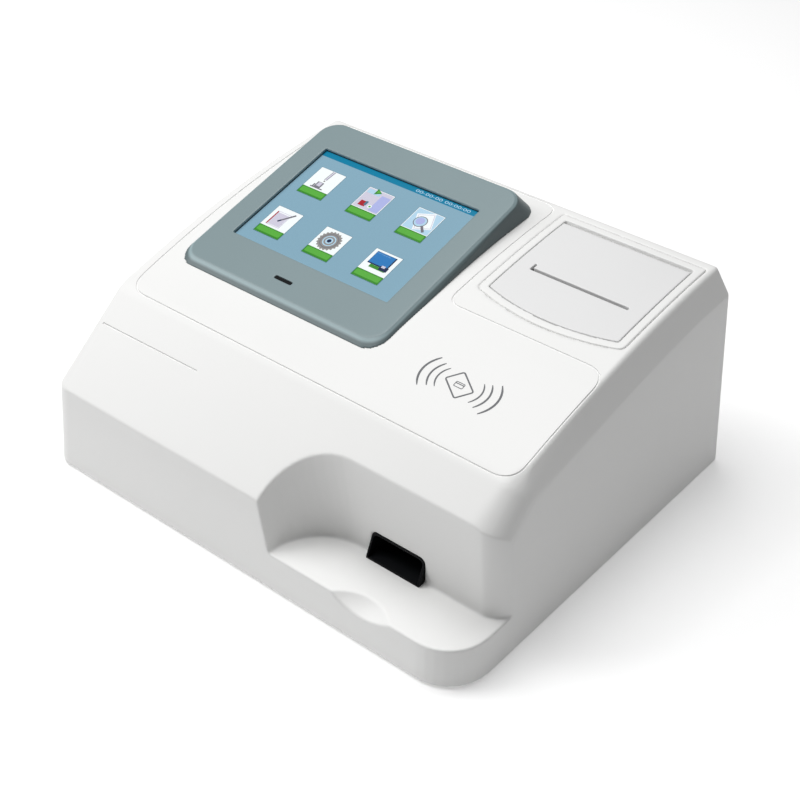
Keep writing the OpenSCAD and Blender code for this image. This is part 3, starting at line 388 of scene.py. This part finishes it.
# voxel in mm, rounds of smoothing, share of the faces that stays, shaft to cut free and its room
moulded = {
    "housingShell": {"node": "upper_housing", "voxel": 0.7, "rounds": 6, "share": 0.13, "paint": "whiteShell",
                     "slot": "white_shell"},
    "screenPad": {"node": "screen_bezel", "voxel": 0.4, "rounds": 7, "share": 0.14, "paint": "padBlue",
                  "slot": "blue_grey"},
    "printerRim": {"node": "printer_frame", "voxel": 0.5, "rounds": 3, "share": 0.2, "paint": "whiteShell",
                   "slot": "white_shell", "bore": ("paper_spindle", 1.06)},
    "paperLid": {"node": "printer_lid", "voxel": 0.35, "rounds": 5, "share": 0.15, "paint": "whiteLid",
                 "body": "lid", "slot": "white_shell", "bore": ("lid_hinge_pin", 1.1)},
}


def makeMoulded():
    for name, spec in moulded.items():
        piece = mouldedCopy(name, spec["node"], spec["voxel"], spec["rounds"], spec["share"])
        if "bore" in spec:
            cutBore(piece, *spec["bore"])
        dress(piece, spec["paint"])
        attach(piece, spec.get("body", "housing"))
        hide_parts(spec["node"])


makeMoulded()
print("moulded pieces made")

# grooves cut into the housing: corners in mm with the radius of each turn
grooves = {
    "topLoop": {
        "closed": True,
        "radius": 0.55,
        "corners": [(-126.5, -61.5, 11), (126.5, -61.5, 12), (126.5, 12.6, 12),
                    (30, 12.6, 8), (30.5, 108, 9), (-126.5, 108, 9)],
    },
    "apronLine": {"closed": False, "radius": 0.55, "corners": [(-129, -80, 0), (-58.5, -79.3, 0)]},
}
# how a groove is traced: steps in a turn, stride along a line and start of the ray in mm, roundness of the
# tube, and the angle from which an edge stays sharp
trace = {"turnSteps": 8, "stride": 6, "above": 300, "tubeSteps": 3, "sharp": 38}


def turnedPath(corners, closed):
    points = []
    for index, (x, y, radius) in enumerate(corners):
        here = Vector((x, y))
        if not radius:
            points.append(here)
            continue
        back = (Vector(corners[index - 1][:2]) - here).normalized()
        ahead = (Vector(corners[(index + 1) % len(corners)][:2]) - here).normalized()
        half = back.angle(ahead) / 2
        start, end = here + back * radius / math.tan(half), here + ahead * radius / math.tan(half)
        for step in range(trace["turnSteps"] + 1):
            share = step / trace["turnSteps"]
            points.append((1 - share) ** 2 * start + 2 * share * (1 - share) * here + share ** 2 * end)
    dense = []
    for index, spot in enumerate(points):
        after = points[(index + 1) % len(points)]
        count = max(1, int((after - spot).length / trace["stride"]))
        if not closed and index == len(points) - 1:
            count = 1
        dense += [spot.lerp(after, step / count) for step in range(count)]
    return dense


def cutGrooves(piece):
    for name, spec in grooves.items():
        path = bpy.data.curves.new(name, "CURVE")
        path.dimensions = "3D"
        path.bevel_depth = spec["radius"] * mm
        path.bevel_resolution = trace["tubeSteps"]
        path.use_fill_caps = True
        spots = turnedPath(spec["corners"], spec["closed"])
        line = path.splines.new("POLY")
        line.points.add(len(spots) - 1)
        line.use_cyclic_u = spec["closed"]
        bpy.context.view_layer.update()
        for point, spot in zip(line.points, spots):
            start = (spot.x * mm, spot.y * mm, trace["above"] * mm)
            hit = piece.ray_cast(start, (0, 0, -1))[1]
            point.co = (*hit, 1)
        cutter = bpy.data.objects.new(name, path)
        scene.collection.objects.link(cutter)
        pick(cutter)
        bpy.ops.object.convert(target="MESH")
        cutter = bpy.context.object
        openMesh(cutter)
        bpy.ops.mesh.remove_doubles(threshold=weld["tube"] * mm)  # the end caps come loose from the tube
        closeMesh()
        useModifier(piece, "BOOLEAN", operation="DIFFERENCE", solver="MANIFOLD", object=cutter)
        pick(cutter)
        bpy.ops.object.delete()
    pick(piece)
    bpy.ops.object.shade_smooth_by_angle(angle=math.radians(trace["sharp"]))
    print("grooves cut,", len(piece.data.polygons), "faces")


cutGrooves(bpy.data.objects["housingShell"])

# flat shapes, drawn in mm on a plane and then set down on the pad or on the top: points of a disc and of the
# full ring of an arc, steps in a corner, how much an arc thins at its ends and how late, points of a gear and
# the share of its radius between two teeth
flat = {"disc": 36, "ring": 144, "corner": 5, "thinning": 0.7, "late": 4, "gear": 80, "root": 0.9}


def flatBox(wide, tall, corner=0.0):
    dropPick()
    bpy.ops.mesh.primitive_plane_add(size=1)
    piece = bpy.context.object
    openMesh(piece)
    bpy.ops.transform.resize(value=(wide * mm, tall * mm, 1))
    if corner:
        bpy.ops.mesh.bevel(affect="VERTICES", offset=corner * mm, segments=flat["corner"])
    closeMesh()
    return piece


def flatDisc(radius, sides):
    dropPick()
    bpy.ops.mesh.primitive_circle_add(vertices=sides, radius=radius * mm, fill_type="NGON")
    return bpy.context.object


def hollow(piece, line):  # leaves only an outline of the face
    openMesh(piece)
    bpy.ops.mesh.inset(thickness=line * mm)
    bpy.ops.mesh.delete(type="FACE")
    closeMesh()
    return piece


def arcLine(radius, half, line):  # part of a ring on both sides of -X, half in degrees
    dropPick()
    bpy.ops.mesh.primitive_circle_add(vertices=flat["ring"], radius=radius * mm)
    piece = bpy.context.object
    openMesh(piece)
    bpy.ops.mesh.select_all(action="DESELECT")
    closeMesh()
    for spot in piece.data.vertices:
        spot.select = abs(math.degrees(math.atan2(spot.co.y, -spot.co.x))) > half
    bpy.ops.object.mode_set(mode="EDIT")
    bpy.ops.mesh.delete(type="VERT")
    bpy.ops.mesh.select_all(action="SELECT")
    bpy.ops.mesh.extrude_edges_move()
    share = (radius - line) / radius
    bpy.ops.transform.resize(value=(share, share, 1), center_override=(0, 0, 0))
    closeMesh()
    for spot in piece.data.vertices:  # the line thins out towards its ends
        if spot.co.length < (radius - line / 2) * mm:
            turn = math.degrees(math.atan2(spot.co.y, -spot.co.x)) / half
            left = 1 - flat["thinning"] * turn ** flat["late"]
            spot.co *= (radius - line * left) * mm / spot.co.length
    return piece


def setDown(piece, plane, spot, level, ink, turn=0.0):
    piece.data.materials.append(paints[ink])
    place = Matrix.Translation((spot[0] * mm, spot[1] * mm, level * mm))
    piece.matrix_world = plane @ place @ Matrix.Rotation(math.radians(turn), 4, "Z")
    pick(piece)
    bpy.ops.object.transform_apply(location=True, rotation=True, scale=True)
    return piece


def joinFlat(name, pieces, thick):
    dropPick()
    for piece in pieces:
        piece.select_set(True)
    bpy.context.view_layer.objects.active = pieces[0]
    bpy.ops.object.join()
    whole = bpy.context.object
    whole.name = name
    whole.data.name = name
    useModifier(whole, "SOLIDIFY", thickness=thick * mm, offset=-1)
    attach(whole, "housing")
    print(name, "has", len(whole.data.polygons), "faces")


# the pad's face: u to the right, v up its slope, from the middle of its front edge; it opens up in degrees
pad = {"middle": -48.4, "front": -34.6, "depth": 136.0, "rise": 2.7, "open": 4.9, "glass": -2.0}


def padPlane():
    near, far = pad["front"], pad["front"] + pad["depth"]
    tilt = math.atan2(topZ(far) - topZ(near), pad["depth"]) + math.radians(pad["open"])
    spot = Vector((pad["middle"], near, topZ(near) + pad["rise"])) * mm
    return Matrix.Translation(spot) @ Matrix.Rotation(tilt, 4, "X")


# painted shade darkens the pad's flank below its face, and a painted highlight line runs along the edge
# between: depth in mm, then share of it and tone
flank = {"depth": 3.0, "tones": ((0.0, 0.52), (0.5, 0.6), (0.72, 1.45), (0.86, 1.35), (0.97, 1.0))}


# paints shade onto all that lies below the pad's face, its flank and the window's walls alike, with a painted
# highlight line just under the face's edge
def paintFlankShadeAndHighlight(mat, plane):
    tree = mat.node_tree
    face = plane.to_3x3() @ Vector((0, 0, 1))
    level = face.dot(plane.translation)
    place = tree.nodes.new("ShaderNodeTexCoord")
    height = tree.nodes.new("ShaderNodeVectorMath")
    height.operation = "DOT_PRODUCT"
    height.inputs[1].default_value = face
    share = tree.nodes.new("ShaderNodeMapRange")
    share.inputs["From Min"].default_value = level - flank["depth"] * mm
    share.inputs["From Max"].default_value = level
    # the ramp's tones: painted shade low down, a painted highlight near the face, the face's own colour at
    # the top
    ramp = tree.nodes.new("ShaderNodeValToRGB")
    steps = ramp.color_ramp.elements
    while len(steps) < len(flank["tones"]):
        steps.new(1.0)
    for step, (spot, tone) in zip(steps, flank["tones"]):
        step.position = spot
        step.color = (tone, tone, tone, 1)
    blend = tree.nodes.new("ShaderNodeMix")
    blend.data_type = "RGBA"
    blend.blend_type = "MULTIPLY"
    blend.inputs["Factor"].default_value = 1.0
    colour = tree.nodes["Principled BSDF"].inputs["Base Color"]
    link = tree.links.new
    link(place.outputs["Object"], height.inputs[0])
    link(height.outputs["Value"], share.inputs["Value"])
    link(share.outputs["Result"], ramp.inputs["Fac"])
    link(colour.links[0].from_socket, blend.inputs["A"])
    link(ramp.outputs["Color"], blend.inputs["B"])
    link(blend.outputs["Result"], colour)


paintFlankShadeAndHighlight(paints["padBlue"], padPlane())


def topPlane(x, y):
    spot = Vector((x, y, topZ(y))) * mm
    return Matrix.Translation(spot) @ Matrix.Rotation(topTilt(y), 4, "X")


# the page on the screen: six tiles, each a picture over a green bar
page = {
    "window": (-54.2, 29.8, 54.2, 107.9),
    "titleTall": 3.9,
    "columns": (-38.3, -3.1, 31.7),
    "rows": ((73.7, 96.0), (37.8, 59.6)),
    "tileWide": 17.8,
    "tileTurn": 0.3,
    "edge": 0.5,
    "edgeTurn": 0.4,
    "barTall": 5.7,
    "shine": {"narrower": 1.4, "lower": 2.0, "turn": 0.8, "up": 0.3},
    "clock": {"text": "00-00-00 00:00:00", "middle": 31.0, "wide": 37.0, "tall": 2.0, "curve": 3},
    "lifts": {"sheet": 0.04, "title": 0.07, "tile": 0.10, "bar": 0.13, "shine": 0.15},
    "pictureStep": 0.02,
    "thick": 0.012,
}
# each picture: kind, size, place from the picture's middle, ink, turn
pictures = [
    [("box", (0.9, 7.6), (0.4, 4.2), "iconPale", -4), ("box", (0.35, 7.6), (-0.4, 4.2), "iconGrey", -4),
     ("box", (0.35, 7.6), (1.1, 4.2), "iconGrey", -4), ("disc", (0.55,), (0.2, -0.6), "iconSteel", 0),
     ("box", (8.6, 0.7), (-0.6, -7.0), "iconGrey", 0), ("box", (4.2, 4.4), (-0.6, -4.4), "iconGrey", 0),
     ("box", (2.6, 3.0), (-0.6, -4.0), "iconPale", 0), ("box", (0.8, 2.4), (-3.4, -5.7), "iconGrey", 0)],
    [("box", (17.0, 15.8), (0, 0), "iconPale", 0), ("box", (6.2, 12.8), (5.2, -1.0), "iconViolet", 0),
     ("box", (8.6, 3.2), (-3.6, 5.6), "iconSky", 0), ("box", (4.4, 4.0), (-4.0, -4.2), "iconRed", 0),
     ("box", (1.6, 3.2), (-2.2, -3.4), "tileEdge", 0), ("tri", (2.7,), (-1.8, 6.6), "barDeep", -90),
     ("tri", (1.5,), (-1.6, 6.9), "barGreen", -90), ("disc", (1.3,), (1.4, -4.8), "tileWhite", 0),
     ("disc", (0.7,), (1.4, -4.8), "barGreen", 0)],
    [("box", (17.0, 15.8), (0, 0), "iconSky", 0), ("box", (10.6, 12.4), (0.6, 0.2), "tileWhite", 24),
     ("box", (9.4, 11.0), (0.8, 0.2), "iconPale", 24), ("box", (8.6, 10.2), (0.8, 0.2), "tileWhite", 24),
     ("disc", (4.1,), (-1.2, -0.8), "iconGrey", 0), ("disc", (3.6,), (-1.2, -0.8), "iconSky", 0),
     ("disc", (2.6,), (-1.5, -0.5), "iconViolet", 0), ("box", (1.5, 5.2), (3.2, -5.0), "iconGrey", 42)],
    [("box", (9.8, 11.4), (-1.6, -1.0), "iconPale", 0), ("box", (9.0, 10.6), (-1.6, -1.0), "tileWhite", 0),
     ("box", (0.8, 10.6), (-6.0, -1.0), "iconRed", 0), ("box", (8.2, 9.6), (-1.4, -1.2), "iconPale", 0),
     ("box", (1.1, 8.8), (2.6, 2.6), "iconGrey", -38), ("box", (1.1, 2.2), (-0.6, -1.5), "iconNavy", -38)],
    [("gear", (7.2,), (-0.4, -0.4), "iconSteel", 0), ("disc", (5.4,), (-0.4, -0.4), "iconGrey", 0),
     ("disc", (4.9,), (-0.4, -0.4), "iconSteel", 0), ("disc", (3.9,), (-0.4, -0.4), "iconSky", 0),
     ("disc", (3.2,), (-0.4, -0.4), "iconSteel", 0), ("disc", (2.2,), (-0.4, -0.4), "iconSky", 0),
     ("disc", (1.3,), (-0.4, -0.4), "iconNavy", 0)],
    [("box", (13.2, 9.4), (-0.2, 2.0), "iconNavy", 0), ("box", (12.2, 8.4), (-0.5, 2.3), "iconBlue", 0),
     ("box", (9.0, 4.0), (-1.6, 3.6), "iconSky", 0), ("box", (9.4, 4.6), (-1.4, 3.2), "iconBlue", 0),
     ("box", (10.4, 2.2), (1.0, -3.9), "barDeep", 0), ("box", (5.2, 3.0), (4.4, -3.0), "iconNavy", 0),
     ("box", (2.4, 1.6), (3.6, -1.8), "iconPale", 0)],
]


def drawShape(kind, size):
    if kind == "box":
        return flatBox(*size)
    if kind == "tri":
        return flatDisc(size[0], 3)
    if kind == "disc":
        return flatDisc(size[0], flat["disc"])
    wheel = flatDisc(size[0], flat["gear"])  # every other pair of its points is drawn in
    for spot in wheel.data.vertices:
        if spot.index % 4 < 2:
            spot.co *= flat["root"]
    return wheel


def clockFigures(spec):
    dropPick()
    bpy.ops.object.text_add()
    bpy.context.object.data.body = spec["text"]
    bpy.context.object.data.resolution_u = spec["curve"]
    bpy.ops.object.convert(target="MESH")
    figures = bpy.context.object
    size = figures.dimensions
    shift = Vector(figures.bound_box[0]) + Vector(size) / 2
    figures.scale = (spec["wide"] * mm / size.x, spec["tall"] * mm / size.y, 1)
    figures.location = (-shift.x * figures.scale.x, -shift.y * figures.scale.y, 0)
    bpy.ops.object.transform_apply(location=True, rotation=True, scale=True)
    return figures


def makePage():
    plane = padPlane()
    level = {name: pad["glass"] + lift for name, lift in page["lifts"].items()}
    pieces = []

    def lay(piece, spot, height, ink, turn=0.0):
        pieces.append(setDown(piece, plane, spot, height, ink, turn))

    u0, v0, u1, v1 = page["window"]
    middle = ((u0 + u1) / 2, (v0 + v1) / 2)
    titleV = v1 - page["titleTall"] / 2
    lay(flatBox(u1 - u0, v1 - v0), middle, level["sheet"], "pageBlue")
    lay(flatBox(u1 - u0, page["titleTall"]), (middle[0], titleV), level["title"], "titleTeal")
    lay(clockFigures(page["clock"]), (page["clock"]["middle"], titleV), level["tile"], "iconSky")
    wide, bar = page["tileWide"], page["barTall"]
    edge, turned, shine = page["edge"], page["tileTurn"], page["shine"]
    columns = page["columns"]
    for index, parts in enumerate(pictures):
        u = columns[index % len(columns)]
        low, high = page["rows"][index // len(columns)]
        centre = (u, (low + high) / 2)
        barV = low + bar / 2
        lay(flatBox(wide + edge, high - low + edge, page["edgeTurn"]), centre, level["title"], "tileEdge")
        lay(flatBox(wide, high - low, turned), centre, level["tile"], "tileWhite")
        lay(flatBox(wide, bar, turned), (u, barV), level["bar"], "barDeep")
        gleam = flatBox(wide - shine["narrower"], bar - shine["lower"], shine["turn"])
        lay(gleam, (u, barV + shine["up"]), level["shine"], "barGreen")
        pictureV = (low + bar + high) / 2
        for step, (kind, size, spot, ink, turn) in enumerate(parts):
            where = (u + spot[0], pictureV + spot[1])
            lay(drawShape(kind, size), where, level["bar"] + page["pictureStep"] * step, ink, turn)
    joinFlat("screenPage", pieces, page["thick"])


makePage()
print("screen page made")

# the card sign printed in front of the printer: a diamond round a card, between waves; each wave has its
# radius, half angle, distance of its centre and line
sign = {
    "spot": (70.6, -28.9),
    "line": 0.8,
    "diamond": ((9.3, -0.3), (-2.8, 8.4), (-9.3, 0.3), (2.8, -8.4)),
    "turn": 1.4,
    "turnSteps": 6,
    "waves": ((13.9, 49, 8.9, 1.15), (11.6, 47, 5.85, 1.0), (9.2, 49, 4.0, 0.85)),
    "card": (5.4, 3.4, 0.6),
    "cardLine": 0.4,
    "stripe": (5.0, 0.5),
    "stripeUp": 0.55,
    "stripeLift": 0.01,
    "lift": 0.05,
    "thick": 0.02,
}


def makeSign():
    plane = topPlane(*sign["spot"])
    lift, pieces = sign["lift"], []

    def lay(piece, spot, height, turn=0.0):
        pieces.append(setDown(piece, plane, spot, height, "signGrey", turn))

    diamond = flatDisc(1, 4)  # each of its points then goes to the corner on its side
    for spot in diamond.data.vertices:
        near = max(sign["diamond"], key=lambda corner: spot.co.xy.dot(Vector(corner)))
        spot.co.xy = Vector(near) * mm
    openMesh(diamond)
    bpy.ops.mesh.bevel(affect="VERTICES", offset=sign["turn"] * mm, segments=sign["turnSteps"])
    closeMesh()
    lay(hollow(diamond, sign["line"]), (0, 0), lift)
    for radius, half, centre, line in sign["waves"]:
        lay(arcLine(radius, half, line), (-centre, 0), lift)
        lay(arcLine(radius, half, line), (centre, 0), lift, 180)
    lay(hollow(flatBox(*sign["card"]), sign["cardLine"]), (0, 0), lift)
    lay(flatBox(*sign["stripe"]), (0, sign["stripeUp"]), lift + sign["stripeLift"])
    joinFlat("cardSign", pieces, sign["thick"])


makeSign()
print("card sign made")

# solids that stay as they are, with their finish
nodePaint = {
    "basePlastic": ["base_plate"],
    "footRubber": ["foot_front_left", "foot_front_right", "foot_rear_left", "foot_rear_right",
                   "platen_rubber"],
    "blackPlastic": ["card_slot_guide", "power_inlet", "switch_frame", "status_window"],
    "darkPlastic": ["card_tray", "switch_rocker", "paper_spindle", "optical_head", "display_module"],
    "satinSteel": ["base_screws", "display_plate", "display_screws", "lid_hinge_pin", "platen_shaft",
                   "guide_rod_left", "guide_rod_right", "lead_screw", "rear_panel", "serial_port",
                   "network_port", "usb_ports", "printer_motor"],
    "castAluminium": ["transport_frame"],
    "motorBlack": ["transport_motor"],
    "gearIvory": ["platen_gear", "idler_gear"],
    "brassTurned": ["motor_pinion", "excitation_lamp"],
    "headCeramic": ["print_head", "objective_lens"],
    "rollPaper": ["paper_roll"],
    "boardGreen": ["detector_board", "card_reader_board", "main_board", "power_supply", "io_board"],
    "glassDark": ["touch_glass"],
}


def dressNodes():
    for paint, names in nodePaint.items():
        for name in names:
            dress(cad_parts[name], paint)


dressNodes()
print("solids dressed")
